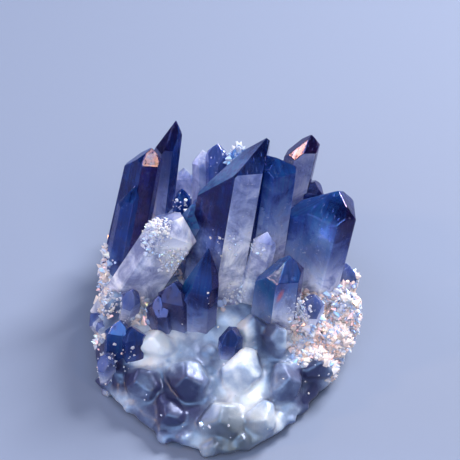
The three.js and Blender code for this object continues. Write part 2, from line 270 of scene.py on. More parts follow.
# foot and tip lie on the line through the tip along the crystal. sides are the distances of the
# six side faces from it, the first turned by turn degrees, and minor says how far the three small
# closing faces stand back. tint runs from 0, teal blue, through violet to 1, maroon; reach is how
# far down from the tip the colour comes, as a share of the length; and strong is how strong it is.
# Each is one number, or one for each of the six side faces. closing is how strong the colour is on
# the six closing faces.
LONG_POINTS = {
    # The main blade's fourth side face, at its left, is violet two thirds of the way down: partly
    # its film and partly painted shade.
    "main blade": dict(
        foot=(2.5, -4, 9), tip=(7.7, 0.8, 46), turn=50, sides=(3, 4, 10.5, 7.9, 4, 0.7),
        minor=(0, 4.5, 0.5), flare=1.04, tint=(0.3, 0.3, 0.02, 0.5, 0.4, 0.35),
        reach=(0.4, 0.4, 0.4, 0.66, 0.3, 0.4), strong=(1, 1, 1, 1, 0.3, 1),
        closing=(1, 1, 0.74, 1, 0.95, 1), twins=7),
    "second blade": dict(
        foot=(6.3, -3, 9), tip=(9.6, 0.6, 41.5), turn=62, sides=(3.4, 3.4, 2.2, 3.2, 2.8, 3.9),
        slope=40, minor=(1.5, 1.5, 1.5), flare=1.05, tint=(0.3, 0.3, 0.3, 0.3, 0.28, 0.45),
        reach=(0.5, 0.5, 0.5, 0.3, 0.3, 0.5), twins=3),
    "left outer blade": dict(
        foot=(-19.5, 6, 9), tip=(-13.9, 9, 37), turn=40, sides=(2.2, 3, 4.4, 2.5, 2.2, 2.2),
        flare=1.25, tint=(0.4, 0.35, 0.3, 0.38, 0.72, 0.6), reach=(0.8, 0.7, 0.7, 1, 1, 1),
        twins=2),
    "left pale blade": dict(
        foot=(-21.5, 4, 8), tip=(-17.2, 5.5, 30.5), turn=20, sides=(1, 1.6, 2.4, 2.2, 1.4, 1),
        slope=66, flare=1.3, tint=0.35, reach=0.8, strong=0.92),
    "left spire": dict(
        foot=(-12.8, 15, 10), tip=(-9.4, 15, 39), turn=30, sides=(1.5, 1.6, 3.9, 3, 2.4, 1.2),
        slope=68, flare=1.05, tint=(0.4, 0.4, 0.5, 0.6, 0.62, 0.42),
        reach=(0.6, 0.6, 0.6, 0.5, 0.48, 0.8), strong=(1, 1, 1, 0.7, 0.76, 1),
        twins=2),
    "right blade": dict(
        foot=(12.2, 9.5, 10), tip=(16.6, 9.2, 40), turn=40, sides=(1.6, 2.4, 4, 3.6, 2, 1.8),
        slope=55, flare=1.05, tint=0.68, reach=(0.5, 0.5, 0.5, 0.35, 0.28, 0.5),
        strong=(1, 1, 1, 0.5, 0.35, 1), twins=2),
    "right far blade": dict(
        foot=(15, 11, 10), tip=(17.4, 8.5, 29), turn=10, sides=2.4, tint=0.5, reach=0.3,
        strong=0.6),
    "right block": dict(
        foot=(17, -3, 8), tip=(21.6, 1.2, 33), turn=0, sides=(3.9, 4.5, 5.6, 8.4, 4.9, 5.2),
        slope=42, minor=(1, 0.5, 1.5), flare=1.05, tint=(0.4, 0.3, 0.2, 0.25, 0.26, 0.48),
        reach=(0.6, 0.6, 0.5, 0.4, 0.44, 0.46), strong=(1, 1, 1, 0.9, 0.93, 0.96),
        closing=0.95, edge=0.4),
    "front spike": dict(
        foot=(-4.6, -11, 7), tip=(-2.9, -11.6, 30), turn=15, sides=(1.8, 2.8, 3.2, 4.6, 3, 2.8),
        slope=71, flare=1.2, tint=(0.4, 0.3, 0.2, 0.2, 0.35, 0.6), reach=0.6,
        strong=(1, 1, 1, 1, 0.95, 1)),
    "right front point": dict(
        foot=(10.8, -11.5, 7), tip=(12.3, -10.6, 27), turn=40, sides=(2.2, 3.2, 5.7, 4, 3, 2.6),
        flare=1.1, tint=(0.5, 0.3, 0.15, 0.12, 0.28, 0.6), reach=(0.5, 0.5, 0.5, 0.52, 0.3, 0.5),
        strong=(1, 1, 1, 0.88, 0.8, 0.9), closing=(1, 1, 0.85, 0.9, 0.94, 0.9), twins=1),
    "left tilted blade": dict(
        foot=(-19.5, -4.5, 9), tip=(-7.8, -4, 31), turn=34, sides=(3.6, 3.5, 4.4, 4.6, 3, 4.6),
        slope=46, flare=1.05, tint=0.3, reach=0.1, strong=0.2,
        closing=(0.3, 0.3, 0.35, 0.2, 0.05, 0.1), twins=2),
    # The middle blade's fifth side face is a paler teal: partly its film and partly painted light
    # in the shaded hollow where it stands.
    "middle blade": dict(
        foot=(-4.5, 0, 10), tip=(-5, -1, 33), turn=25, sides=(3.4, 3, 2.6, 3.6, 3, 3.6),
        slope=58, tint=(0.6, 0.5, 0.1, 0.1, 0, 0.8), reach=0.8,
        strong=(1, 1, 1, 0.8, 0.65, 1), closing=(0.9, 0.9, 0.9, 0.7, 0.8, 1), twins=1),
    "left knob": dict(
        foot=(-9, 1.5, 10), tip=(-8, 1.2, 33.5), turn=45, sides=1.5, slope=60, tint=0.28,
        reach=0.5, strong=0.96),
}

# Worn edges: the width of the narrow flat that catches the light along every edge.
LONG_EDGE = 0.1
TWIN_HALF = (0.9, 2.4)
TWIN_PROUD = (0.04, 0.14)
TWIN_DROP = (0.5, 14.0)
# A twin takes up at most this share of its face's width, and stands this far along it.
TWIN_WIDEST = 0.3
TWIN_PLACE = (0.3, 0.7)
# Edges worn wider than this are rounded, in this many steps.
ROUNDED_ABOVE = 0.3
ROUND_STEPS = 5
# A shaft is made this much too long, and its closing faces then cut it off.
OVERLENGTH = 2
# A face that looks up more than this along the crystal is one of those that close it.
CLOSING_RISE = 0.25
# Veils hang in the crystals here and there: middle, radius, and how much they whiten it. Below zero
# the crystal is darker and clearer there. Two white ones are partly painted light: the one on the
# left tilted blade's face stands for its sparkle, and the one in the shaded hollow between it and
# the main blade stands for a glow.
VEILS_AND_PAINTED_LIGHT = [
    ((-9, -7, 22.5), 5.5, 0.38), ((2.6, -7.5, 22), 7, 0.08), ((16, -9, 17), 6, 0.12),
    ((-2.8, -5.6, 26), 5, 0.38), ((19, -4.7, 27.5), 4.5, 0.28), ((-4.2, -12.6, 23.5), 4, 0.15),
    ((22.8, -2, 30.5), 4.5, -0.28), ((6.5, 1.5, 44), 5, -0.35), ((21, -5, 18), 6, 0.12),
]
# A pink glint painted into the right front point, where a healed crack flashes: its middle, its
# half sizes and how far it leans to the right.
PAINTED_SALMON_GLINT = ((10.4, -14.6, 20.3), (0.65, 1.2, 2.1), 20)


def crystal_frame(foot, tip):
    """The crystal's own axes: the third from foot to tip, the first as near +X as it can lie."""
    foot, tip = Vector(foot), Vector(tip)
    along = (tip - foot).normalized()
    across = (Vector((1, 0, 0)) - along * along.x).normalized()
    depth = along.cross(across)
    turned = Matrix((across, depth, along)).transposed().to_4x4()
    return Matrix.Translation(foot) @ turned, (tip - foot).length


def shaft_corners(sides, turn, scale):
    """The corners between side faces that lie at the given distances from the crystal's line."""
    step = math.pi / 3
    corners = []
    for index, distance in enumerate(sides):
        angle = math.radians(turn) + index * step
        slide = (sides[(index + 1) % 6] - distance * math.cos(step)) / math.sin(step)
        outward = Vector((math.cos(angle), math.sin(angle), 0))
        sideways = Vector((-math.sin(angle), math.cos(angle), 0))
        corners.append((outward * distance + sideways * slide) * scale)
    return corners


def closed_shaft(sides, turn, bottom, length, slope, stand_back, flare, shift=Vector((0, 0, 0))):
    """A six-sided shaft cut off by its six closing faces, in the crystal's own axes."""
    crystal = bmesh.new()
    bmesh.ops.create_cone(crystal, cap_ends=True, segments=6, radius1=1, radius2=1, depth=2)
    low, high = shaft_corners(sides, turn, flare), shaft_corners(sides, turn, 1)
    for corner in crystal.verts:
        sixth = round(math.atan2(corner.co.y, corner.co.x) / (math.pi / 3) - 0.5) % 6
        top = corner.co.z > 0
        corner.co = (high if top else low)[sixth] + shift
        corner.co.z = length + OVERLENGTH if top else bottom
    rise = math.tan(math.radians(slope))
    for index in range(6):
        angle = math.radians(turn + 60 * index)
        normal = Vector((rise * math.cos(angle), rise * math.sin(angle), 1)).normalized()
        back = stand_back[index // 2] if index % 2 else 0
        cut = bmesh.ops.bisect_plane(
            crystal, geom=crystal.verts[:] + crystal.edges[:] + crystal.faces[:],
            plane_co=Vector((0, 0, length + back)) + shift, plane_no=normal, clear_outer=True)
        rim = [piece for piece in cut["geom_cut"] if isinstance(piece, bmesh.types.BMEdge)]
        bmesh.ops.holes_fill(crystal, edges=rim)
    bmesh.ops.recalc_face_normals(crystal, faces=crystal.faces[:])
    return crystal


def uneven_sides(distance, turn):
    return [distance * (1 + UNEVEN_SHARE * math.sin(turn + 2.4 * k)) for k in range(6)]


def wear_edges(crystal, width, segments=1):
    bmesh.ops.bevel(
        crystal, geom=crystal.edges[:], offset=width, offset_type="OFFSET", segments=segments,
        profile=0.5, affect="EDGES", clamp_overlap=True, material=-1)


def six(value):
    return value if isinstance(value, tuple) else (value,) * 6


def mark_growth(crystal, length, spec, seed):
    """Keeps on the surface what the finish follows. The Growth map is millimetres across and along
    the crystal. The Zone colour is how near the tip a spot is, its tint, how strong the colour is,
    and how far down from the tip it reaches."""
    tint, reach = six(spec["tint"]), six(spec["reach"])
    strong, closing = six(spec.get("strong", 1)), six(spec.get("closing", 1))
    growth = crystal.loops.layers.uv.new("Growth")
    zone = crystal.loops.layers.float_color.new("Zone")
    for face in crystal.faces:
        angle = math.degrees(math.atan2(face.normal.y, face.normal.x)) - spec["turn"]
        sixth = round(angle / 60) % 6
        facing = math.radians(spec["turn"] + 60 * sixth)
        sideways = Vector((-math.sin(facing), math.cos(facing), 0))
        closes = face.normal.z > CLOSING_RISE
        strength = closing[sixth] if closes else strong[sixth]
        far = 1 if closes else reach[sixth]
        for loop in face.loops:
            place = loop.vert.co
            loop[growth].uv = (place.dot(sideways) + 23 * sixth + 7 * seed, place.z)
            near_tip = min(max(place.z / length, 0), 1)
            loop[zone] = (near_tip, tint[sixth], strength, far)


def crystal_object(name, crystal, matrix):
    """Places a finished crystal, in metres from the middle of the cluster's box."""
    to_box = Matrix.Scale(MM, 4) @ Matrix.Translation(-BOX_MIDDLE)
    bmesh.ops.transform(crystal, matrix=to_box @ matrix, verts=crystal.verts)
    mesh = bpy.data.meshes.new(name)
    crystal.to_mesh(mesh)
    crystal.free()
    made = bpy.data.objects.new(name, mesh)
    bpy.context.collection.objects.link(made)
    return made


def quartz_point(name, spec, root, seed):
    """A point and its twins, as separate closed objects that are joined later."""
    matrix, length = crystal_frame(spec["foot"], spec["tip"])
    turn = spec["turn"]
    sides = spec["sides"] if isinstance(spec["sides"], tuple) else uneven_sides(spec["sides"], turn)
    slope = spec.get("slope", FACE_SLOPE)
    stand_back = spec.get("minor", (MINOR_SHARE * sides[0],) * 3)
    flare = spec.get("flare", FLARE)
    edge = spec.get("edge", LONG_EDGE)
    corners = shaft_corners(sides, turn, 1)
    body = closed_shaft(sides, turn, -root, length, slope, stand_back, flare)
    wear_edges(body, edge, ROUND_STEPS if edge > ROUNDED_ABOVE else 1)
    mark_growth(body, length, spec, seed)
    parts = [crystal_object(name, body, matrix)]
    chance = random.Random(seed)
    for _ in range(spec.get("twins", 0)):
        face = chance.randrange(6)
        proud = chance.uniform(*TWIN_PROUD)
        facing = math.radians(turn + 60 * face)
        outward = Vector((math.cos(facing), math.sin(facing), 0))
        width = (corners[face] - corners[face - 1]).length
        half = min(chance.uniform(*TWIN_HALF), TWIN_WIDEST * width)
        share = chance.uniform(*TWIN_PLACE)
        shift = corners[face - 1].lerp(corners[face], share) - outward * (half - proud)
        lean = sides[face] * math.tan(math.radians(slope)) * 0.9
        height = length - lean - chance.uniform(*TWIN_DROP)
        if height < 0.3 * length or half < 0.3:
            continue
        # The twin widens downwards with the crystal, so that it stands equally proud all the way.
        spread = 1 + (flare - 1) * (1 - height / length)
        twin = closed_shaft(
            [half * spread] * 6, turn, -root, height, slope, (half * 0.5,) * 3, 1, shift)
        wear_edges(twin, LONG_EDGE * 0.5)
        mark_growth(twin, length, spec, seed)
        parts.append(crystal_object(name + " twin", twin, matrix))
    return parts


# Clear quartz, coated hot in vacuum with a metal film less than two hundred millionths of a
# millimetre thick. The film makes the tips deep blue to violet and gives every glint a tint, and
# the shaft pales into streaky milk towards the root.
film_coated, tree, place, zone = zoned_material("film_coated_quartz")
near_tip, tint, strength, reach = zone
growth = add(tree, "ShaderNodeUVMap", uv_map="Growth").outputs["UV"]
cloud = add(tree, "ShaderNodeTexNoise", {
    "Vector": place, "Scale": per_mm(5), "Detail": 5.0, "Roughness": 0.6,
    "Distortion": 0.6}).outputs["Fac"]
veil = add(tree, "ShaderNodeTexNoise", {
    "Vector": place, "Scale": per_mm(1.6), "Detail": 6.0, "Roughness": 0.65}).outputs["Fac"]
# The veils whiten the milk and thin the film; two of them are partly painted light.
veil_and_painted_light = None
for spot, size, much in VEILS_AND_PAINTED_LIGHT:
    away = add(tree, "ShaderNodeVectorMath", {
        0: place, 1: (Vector(spot) - BOX_MIDDLE) * MM}, operation="DISTANCE")
    hung = add(tree, "ShaderNodeMapRange", {
        "Value": away.outputs["Value"], "From Max": size * MM, "To Min": much, "To Max": 0.0})
    if veil_and_painted_light:
        hung = add(
            tree, "ShaderNodeMath", {0: veil_and_painted_light.outputs[0], 1: hung.outputs[0]}, operation="ADD")
    veil_and_painted_light = hung
# The colour comes down from the tip as far as the face's reach, with a wandering border.
border = add(tree, "ShaderNodeMath", {0: cloud, 1: 0.8, 2: near_tip}, operation="MULTIPLY_ADD")
border = add(tree, "ShaderNodeMath", {0: border.outputs[0], 1: reach}, operation="ADD")
spread = add(tree, "ShaderNodeMapRange", {
    "Value": border.outputs[0], "From Min": 1.15, "From Max": 1.65},
    interpolation_type="SMOOTHSTEP")
depth = add(tree, "ShaderNodeMath", {0: spread.outputs[0], 1: strength}, operation="MULTIPLY")
depth = add(tree, "ShaderNodeMath", {
    0: veil_and_painted_light.outputs[0], 1: -0.5, 2: depth.outputs[0]}, operation="MULTIPLY_ADD", use_clamp=True)
# Streaks half a millimetre wide run along the shaft, in the film as well as in the milk.
streak_map = add(tree, "ShaderNodeMapping", {"Vector": growth, "Scale": (1.8, 0.12, 1.0)})
streak = add(tree, "ShaderNodeTexNoise", {
    "Vector": streak_map.outputs[0], "Scale": 1.0, "Detail": 5.0}).outputs["Fac"]
hue = add(tree, "ShaderNodeMath", {0: cloud, 1: 0.6, 2: tint}, operation="MULTIPLY_ADD")
hue = add(tree, "ShaderNodeMath", {0: streak, 1: 0.5, 2: hue.outputs[0]}, operation="MULTIPLY_ADD")
# Towards its lower border, and over a veil, the film is bluer.
hue = add(tree, "ShaderNodeMath", {
    0: spread.outputs[0], 1: 0.35, 2: hue.outputs[0]}, operation="MULTIPLY_ADD")
hue = add(tree, "ShaderNodeMath", {
    0: veil_and_painted_light.outputs[0], 1: -0.7, 2: hue.outputs[0]}, operation="MULTIPLY_ADD")
# The teal faces are etched all over: the film is navy in the small hollows.
hollows = add(tree, "ShaderNodeTexNoise", {"Vector": place, "Scale": per_mm(0.9), "Detail": 4.0})
hollows = add(tree, "ShaderNodeMapRange", {
    "Value": hollows.outputs["Fac"], "From Min": 0.48, "From Max": 0.62, "To Max": 0.4})
teal_face = add(tree, "ShaderNodeMapRange", {
    "Value": tint, "From Max": 0.12, "To Min": 1.0, "To Max": 0.0})
hue = add(tree, "ShaderNodeMath", {
    0: hollows.outputs[0], 1: teal_face.outputs[0], 2: hue.outputs[0]}, operation="MULTIPLY_ADD")
hue = add(tree, "ShaderNodeMath", {0: hue.outputs[0], 1: 0.9}, operation="SUBTRACT", use_clamp=True)
film = add(tree, "ShaderNodeValToRGB", {"Fac": hue.outputs[0]}, steps=[
    (0.0, "#2079b0"), (0.25, "#1d4a98"), (0.5, "#131850"), (0.75, "#231347"), (1.0, "#561a55")])
milk_share = add(tree, "ShaderNodeMix", {0: 0.8, 2: streak, 3: cloud}, data_type="FLOAT")
milk_share = add(tree, "ShaderNodeMath", {
    0: milk_share.outputs[0], 1: veil_and_painted_light.outputs[0]}, operation="ADD")
milk = add(tree, "ShaderNodeValToRGB", {"Fac": milk_share.outputs[0]}, steps=[
    (0.38, "#a6b0dc"), (0.5, "#c7d0ec"), (0.64, "#f1f3fb")])
# Where the film thins out the milk behind it is washed blue.
wash = add(tree, "ShaderNodeValToRGB", {"Fac": depth.outputs[0]}, steps=[
    (0.0, "#ffffff"), (0.5, "#cfdaf8"), (1.0, "#a8b6ea")])
milk = add(tree, "ShaderNodeMix", {
    0: 1.0, 6: milk.outputs[0], 7: wash.outputs[0]}, data_type="RGBA", blend_type="MULTIPLY")
colour = add(tree, "ShaderNodeMix", {
    0: depth.outputs[0], 6: milk.outputs[2], 7: film.outputs[0]}, data_type="RGBA")
# White flecks half a millimetre wide lie in it, in drifts: partly white specks in the quartz and
# partly painted sparkle.
grains = add(tree, "ShaderNodeTexNoise", {"Vector": place, "Scale": per_mm(0.5), "Detail": 2.0})
grains = add(tree, "ShaderNodeMapRange", {
    "Value": grains.outputs["Fac"], "From Min": 0.6, "From Max": 0.7})
drift = add(tree, "ShaderNodeMapRange", {"Value": veil, "From Min": 0.5, "From Max": 0.62})
flecks_and_painted_sparkle = add(tree, "ShaderNodeMath", {
    0: grains.outputs[0], 1: drift.outputs[0]}, operation="MULTIPLY")
bare = add(tree, "ShaderNodeMapRange", {"Value": depth.outputs[0], "To Min": 1.0, "To Max": 0.12})
flecks_and_painted_sparkle = add(tree, "ShaderNodeMath", {
    0: flecks_and_painted_sparkle.outputs[0], 1: bare.outputs[0]}, operation="MULTIPLY")
colour = add(tree, "ShaderNodeMix", {
    0: flecks_and_painted_sparkle.outputs[0], 6: colour.outputs[2], 7: linear("#e9edf8")}, data_type="RGBA")
# A salmon glint, the flash of a healed crack, is painted into the right front point's colour.
salmon_glint_map = add(tree, "ShaderNodeMapping", {
    "Vector": place, "Location": (Vector(PAINTED_SALMON_GLINT[0]) - BOX_MIDDLE) * MM,
    "Rotation": (0, math.radians(PAINTED_SALMON_GLINT[2]), 0), "Scale": Vector(PAINTED_SALMON_GLINT[1]) * MM},
    vector_type="TEXTURE")
salmon_glint = add(tree, "ShaderNodeVectorMath", {0: salmon_glint_map.outputs[0]}, operation="LENGTH")
salmon_glint = add(tree, "ShaderNodeMapRange", {
    "Value": salmon_glint.outputs["Value"], "From Min": 0.3, "From Max": 1.0,
    "To Min": 0.7, "To Max": 0.0})
colour = add(tree, "ShaderNodeMix", {
    0: salmon_glint.outputs[0], 6: colour.outputs[2], 7: linear("#e8796c")}, data_type="RGBA")
clear = add(tree, "ShaderNodeMapRange", {
    "Value": cloud, "From Min": 0.4, "From Max": 0.6, "To Min": 0.6, "To Max": 0.15})
see_through = add(tree, "ShaderNodeMix", {
    0: depth.outputs[0], 2: clear.outputs[0], 3: 0.65}, data_type="FLOAT")
see_through = add(tree, "ShaderNodeMath", {
    0: see_through.outputs[0], 1: veil_and_painted_light.outputs[0]}, operation="SUBTRACT", use_clamp=True)
rough = add(tree, "ShaderNodeMapRange", {
    "Value": veil, "From Min": 0.3, "From Max": 0.7, "To Min": 0.03, "To Max": 0.14})
# The film is 165 millionths of a millimetre where it is violet, and 188 where it is blue.
thickness = add(tree, "ShaderNodeMapRange", {
    "Value": hue.outputs[0], "From Min": 0.1, "From Max": 0.8, "To Min": 188.0, "To Max": 165.0})
# Where the film ends or is worn its index falls to the quartz's own, so that it no longer mirrors.
worn = add(tree, "ShaderNodeMapRange", {
    "Value": veil, "From Min": 0.38, "From Max": 0.6, "To Min": 0.25, "To Max": 1.0})
whole = add(tree, "ShaderNodeMath", {
    0: depth.outputs[0], 1: worn.outputs[0]}, operation="MULTIPLY")
film_index = add(tree, "ShaderNodeMapRange", {
    "Value": whole.outputs[0], "To Min": QUARTZ_INDEX, "To Max": 1.8})
# Growth lines a third of a millimetre apart run across the shaft, and etch pits lie between them.
lines_map = add(tree, "ShaderNodeMapping", {"Vector": growth, "Scale": (0.12, 3.0, 1.0)})
lines = add(tree, "ShaderNodeTexNoise", {
    "Vector": lines_map.outputs[0], "Scale": 1.0, "Detail": 3.0})
pit_map = add(tree, "ShaderNodeMapping", {"Vector": growth, "Scale": (0.9, 0.45, 1.0)})
pits = add(tree, "ShaderNodeTexVoronoi", {
    "Vector": pit_map.outputs[0], "Scale": 1.0}, voronoi_dimensions="2D")
pits = add(tree, "ShaderNodeMapRange", {
    "Value": pits.outputs["Distance"], "From Min": 0.08, "From Max": 0.16})
bump = add(tree, "ShaderNodeBump", {
    "Height": lines.outputs["Fac"], "Strength": 0.3, "Distance": 0.05 * MM})
bump = add(tree, "ShaderNodeBump", {
    "Height": pits.outputs[0], "Strength": 0.5, "Distance": 0.1 * MM, "Normal": bump.outputs[0]})
bump = add(tree, "ShaderNodeBump", {
    "Height": veil, "Strength": 0.3, "Distance": 0.12 * MM, "Normal": bump.outputs[0]})
shader = add(tree, "ShaderNodeBsdfPrincipled", {
    "Base Color": colour.outputs[2], "Roughness": rough.outputs[0], "IOR": QUARTZ_INDEX,
    "Transmission Weight": see_through.outputs[0], "Normal": bump.outputs[0],
    "Specular Tint": linear("#ccd3ff"), "Subsurface Weight": 0.8,
    "Subsurface Radius": (0.7, 0.8, 1.0), "Subsurface Scale": 3 * MM,
    "Thin Film Thickness": thickness.outputs[0], "Thin Film IOR": film_index.outputs[0]})
depths = add(tree, "ShaderNodeVolumeAbsorption", {"Color": linear("#8496e0"), "Density": 35.0})
add(tree, "ShaderNodeOutputMaterial", {"Surface": shader.outputs[0], "Volume": depths.outputs[0]})

points = []
for number, (name, spec) in enumerate(LONG_POINTS.items()):
    points += quartz_point(name, spec, LONG_ROOT, number)

# ---------------------------------------------------------------- the short points
# Shorter points fill the ground between and around the long ones. Those in front are stubs that
# have grown so round that they are part of the bed's skin.

SHORT_ROOT = 2.5
SHORT_EDGE = 0.07
SHORT_SEED = 40


def short(foot, tip, turn, sides, slope=FACE_SLOPE, tint=0.35, reach=0.4, strong=0.65):
    return dict(
        foot=foot, tip=tip, turn=turn, sides=sides, slope=slope, tint=tint, reach=reach,
        strong=strong, closing=strong, edge=SHORT_EDGE)


SHORT_POINTS = {
    "blade chip": short((5.2, -7.2, 15), (8, -6, 29), 20, 1.7, reach=0.1, strong=0.3),
    "left foot point": short((-19.5, -10, 7), (-17.6, -11, 18.5), 10, 2, reach=0.2),
    "left foot stub": short((-21.5, -9, 7), (-21, -9.5, 17), 50, 2.2, reach=0.2),
    "left navy point": short(
        (-20.5, -17, 4), (-19.8, -15.5, 15), 20, 2.1, tint=0.25, reach=0.9, strong=0.92),
    "left navy twin": short(
        (-17.5, -17, 5), (-17.2, -17.5, 15), 45, 1.8, tint=0.35, reach=0.7, strong=0.88),
    "left low point": short((-22, -19.5, 3), (-22.5, -20.5, 11), 5, 1.8),
    "dark stub": short(
        (-9.5, -11, 7), (-9.5, -11.5, 21), 15, 2.7, tint=0.55, reach=0.6, strong=0.88),
    "dark stub twin": short(
        (-12, -12.5, 6), (-12.5, -12, 18), 35, 2.2, tint=0.5, reach=0.5, strong=0.85),
    "front blue point": short(
        (1, -17, 7), (1.3, -18.4, 15.5), 25, 2, tint=0.3, reach=0.5, strong=0.9),
    "front dark point": short((9.5, -16, 6), (10, -18, 16), 55, 2.3, tint=0.5, reach=0.8),
    "front crest stub": short((5, -14, 6), (5.4, -15.4, 16), 40, 2.4, reach=0.1),
    "front bright stub": short((3, -20, 3), (3.6, -24.6, 12.6), 12, 3.7, 42, reach=0),
    "front grey stub": short((-6, -21, 3), (-7.4, -26, 10.8), 35, 3.6, 42, reach=0.5),
    "front shoulder stub": short((10, -22, 3), (12.2, -26, 10.4), 50, 3.2, 42, reach=0.1),
    "nose stub": short((-0.5, -28, 1), (-1, -34, 7.6), 20, 3.3, 40, reach=0.2),
    "nose right stub": short((6, -28, 1), (7.6, -33, 6.6), 5, 3, 40, reach=0.1),
    "nose left stub": short((-8.5, -27, 1), (-11, -31.4, 6), 48, 2.8, 42, reach=0.5),
    "left front stub": short((-14, -20.5, 3), (-17, -25.4, 8.4), 22, 3, 42, reach=0.2),
    "left crest stub": short((-12.5, -15, 5), (-13.4, -18.5, 13.6), 8, 2.7, 46, reach=0),
    "right front stub": short((15.5, -17, 3), (18.6, -21, 9.4), 33, 3, 42, reach=0.3),
    "right low stub": short((19, -11.5, 3), (22.8, -14.6, 10.6), 16, 2.8, 46, reach=0),
    "right notch point": short((16, -12, 6), (17, -13, 19), 30, 2.2, reach=0.1),
    "right rim point": short((22, -8, 5), (24.6, -8.5, 14.5), 15, 2.3, reach=0.1),
    "right rim twin": short((21, -2, 6), (24.2, -2.5, 17), 40, 2.2, reach=0.1),
    "valley point": short((-3, 9, 9), (-3.4, 10.5, 25), 12, 2.6, tint=0.3, strong=0.3),
    "valley right point": short(
        (4.5, 10, 9), (5.6, 12, 28), 47, 3, tint=0.1, reach=0.8, strong=0.8),
    "valley far point": short((11, 15, 8), (13, 18, 24), 28, 2.6, tint=0.6, strong=0.6),
    "valley left point": short((-8.5, 10, 9), (-8.8, 11, 22), 33, 2.2, tint=0.3, strong=0.3),
    "valley low point": short((0.5, 14, 9), (0.8, 16, 21), 52, 2.5, tint=0.3, strong=0.3),
    "back tall point": short(
        (-2, 17, 9), (-1.5, 21.5, 28), 10, 2.4, tint=0.3, reach=0.8, strong=0.8),
    "back tall twin": short((2, 16, 9), (2.8, 20, 29), 35, 2.6, tint=0.1, reach=0.8, strong=0.8),
    "back middle point": short((-4.5, 18, 8), (-4.6, 24.5, 24), 50, 2.2, tint=0.3, strong=0.3),
    "back ridge point": short((-8, 20, 8), (-8.6, 26, 18), 20, 2.1, tint=0.3, strong=0.3),
    "back left point": short((-15, 15, 7), (-19, 20, 21), 5, 2.6, tint=0.5, strong=0.6),
    "back outer point": short((-12, 21, 6), (-15, 27, 15), 25, 2.4, tint=0.3, strong=0.3),
    "back low point": short((-2, 23, 5), (-2, 29.4, 14), 40, 2.5, tint=0.3, strong=0.3),
    "back right point": short((8, 18, 8), (10.5, 24, 21), 15, 2.7, tint=0.5, strong=0.6),
    "back right low point": short((7, 22, 5), (9.5, 28.6, 13), 45, 2.4, tint=0.3, strong=0.3),
    "far right point": short((15, 15, 6), (19.6, 19, 18), 30, 2.6, tint=0.6, reach=0.6),
    "far right low point": short((18, 8, 6), (23, 11, 16.5), 10, 2.4, tint=0.3, reach=0.5),
}

stubs = []
for number, (name, spec) in enumerate(SHORT_POINTS.items()):
    made = quartz_point(name, spec, SHORT_ROOT, SHORT_SEED + number)
    if name.endswith("stub") and name != "dark stub" or name == "front dark point":
        stubs += made
    else:
        points += made

# ---------------------------------------------------------------- the bed's own small crystals
# Eighty-eight small crystals stand all over the bed, leaning out of it. Those low on the worn front
# have melted into its skin, and the others keep their faces.

DRUZE_BAND = (2.4, 6.8)
DRUZE_COUNT = 88
DRUZE_LENGTH = (1.8, 3.8)
DRUZE_SLENDERNESS = (0.34, 0.5)
DRUZE_ROOT = 1.5
DRUZE_CLEARANCE = 4.5
DRUZE_LOWEST = 0.12
DRUZE_SEED = 7
DRUZE_SLOPE = 46
DRUZE_TWIN_SEED = 200

# The melted ones stand in front of this, and have lost part of their length.
MELTED_FRONT = -13.0
MELTED_LENGTH = 0.65


def repeatable(seed):
    state = seed
    while True:
        state = (state * 1664525 + 1013904223) & 0xFFFFFFFF
        yield state / 4294967296


def bed_druze():
    """The small crystals of the cut-out solid, each with the same place, lean and size."""
    chance = repeatable(DRUZE_SEED)
    found = {}
    while len(found) < DRUZE_COUNT:
        around = next(chance)
        step = lerp(*DRUZE_BAND, next(chance))
        lean = Vector((next(chance) - 0.5, next(chance) - 0.5, next(chance) * 0.8))
        length = lerp(*DRUZE_LENGTH, next(chance))
        half = length * lerp(*DRUZE_SLENDERNESS, next(chance))
        turn = 60 * next(chance)
        out, up = section_at(step)
        foot = bed_place(around, out, up)
        feet = [Vector(spec["foot"]) for spec in LONG_POINTS.values()]
        if any((other - foot).xy.length < DRUZE_CLEARANCE for other in feet):
            continue
        beside = bed_place(around + 0.01, out, up) - foot
        above = bed_place(around, *section_at(step + 0.2)) - foot
        direction = (beside.cross(above).normalized() + lean * 0.8).normalized()
        direction.z = max(direction.z, DRUZE_LOWEST)
        tip = foot + direction.normalized() * length * (0.6 + 0.4 * up)
        found[f"druze {len(found)}"] = dict(
            foot=foot, tip=tip, turn=turn, sides=half, minor=(0, 0, 0), slope=DRUZE_SLOPE,
            tint=0.1 + 0.1 * (len(found) % 5), reach=0.3, strong=0.5,
            closing=0.15 + 0.2 * (len(found) % 4), edge=0.05)
    return found


loose_druze = []
for number, (name, spec) in enumerate(bed_druze().items()):
    melted = spec["foot"].y < MELTED_FRONT
    if melted:
        spec["tip"] = spec["foot"].lerp(spec["tip"], MELTED_LENGTH)
    made = quartz_point(name, spec, DRUZE_ROOT, DRUZE_TWIN_SEED + number)
    if melted:
        stubs += made
    else:
        loose_druze += made

# ---------------------------------------------------------------- the cluster, joined
# Bed and points grew as one piece, so they are joined into one closed skin. It stands in for the
# cut-out solid and is the same shape with worn edges and a lumpier bed.

# The skin of the bed is drawn over the mound and its stubs in cells of this size, and smoothed.
SKIN_CELL = 0.4
SKIN_ROUNDS = 5
# Knobs of milky quartz on the skin: how wide they are and how far they stand out.
KNOB_WIDTH = 2.6
KNOB_RELIEF = 0.3
# Where the skin is smoky or, below zero, milkier: middle in plan, radius, and how much. The smoky
# patches at the left, the front left and under the right rim are partly painted shade, and the
# milkier ones partly painted light.
SMOKINESS_AND_PAINTED_SHADE = [
    ((-8.5, -28), 8, 0.42), ((-17, -24), 7, 0.28), ((17, -24), 6, 0.46), ((-23, -18), 8, 0.5),
    ((4, -24), 7, -0.06), ((-15.5, -18.5), 5, -0.27), ((22, -12), 10, -0.25), ((1, -35), 6, 0.2),
    ((9.5, -17), 4, 0.2), ((2, -15), 5, -0.1),
]
# Around the nose the skin is greyer: middle in plan and radius.
GREY = ((2, -36), 12)

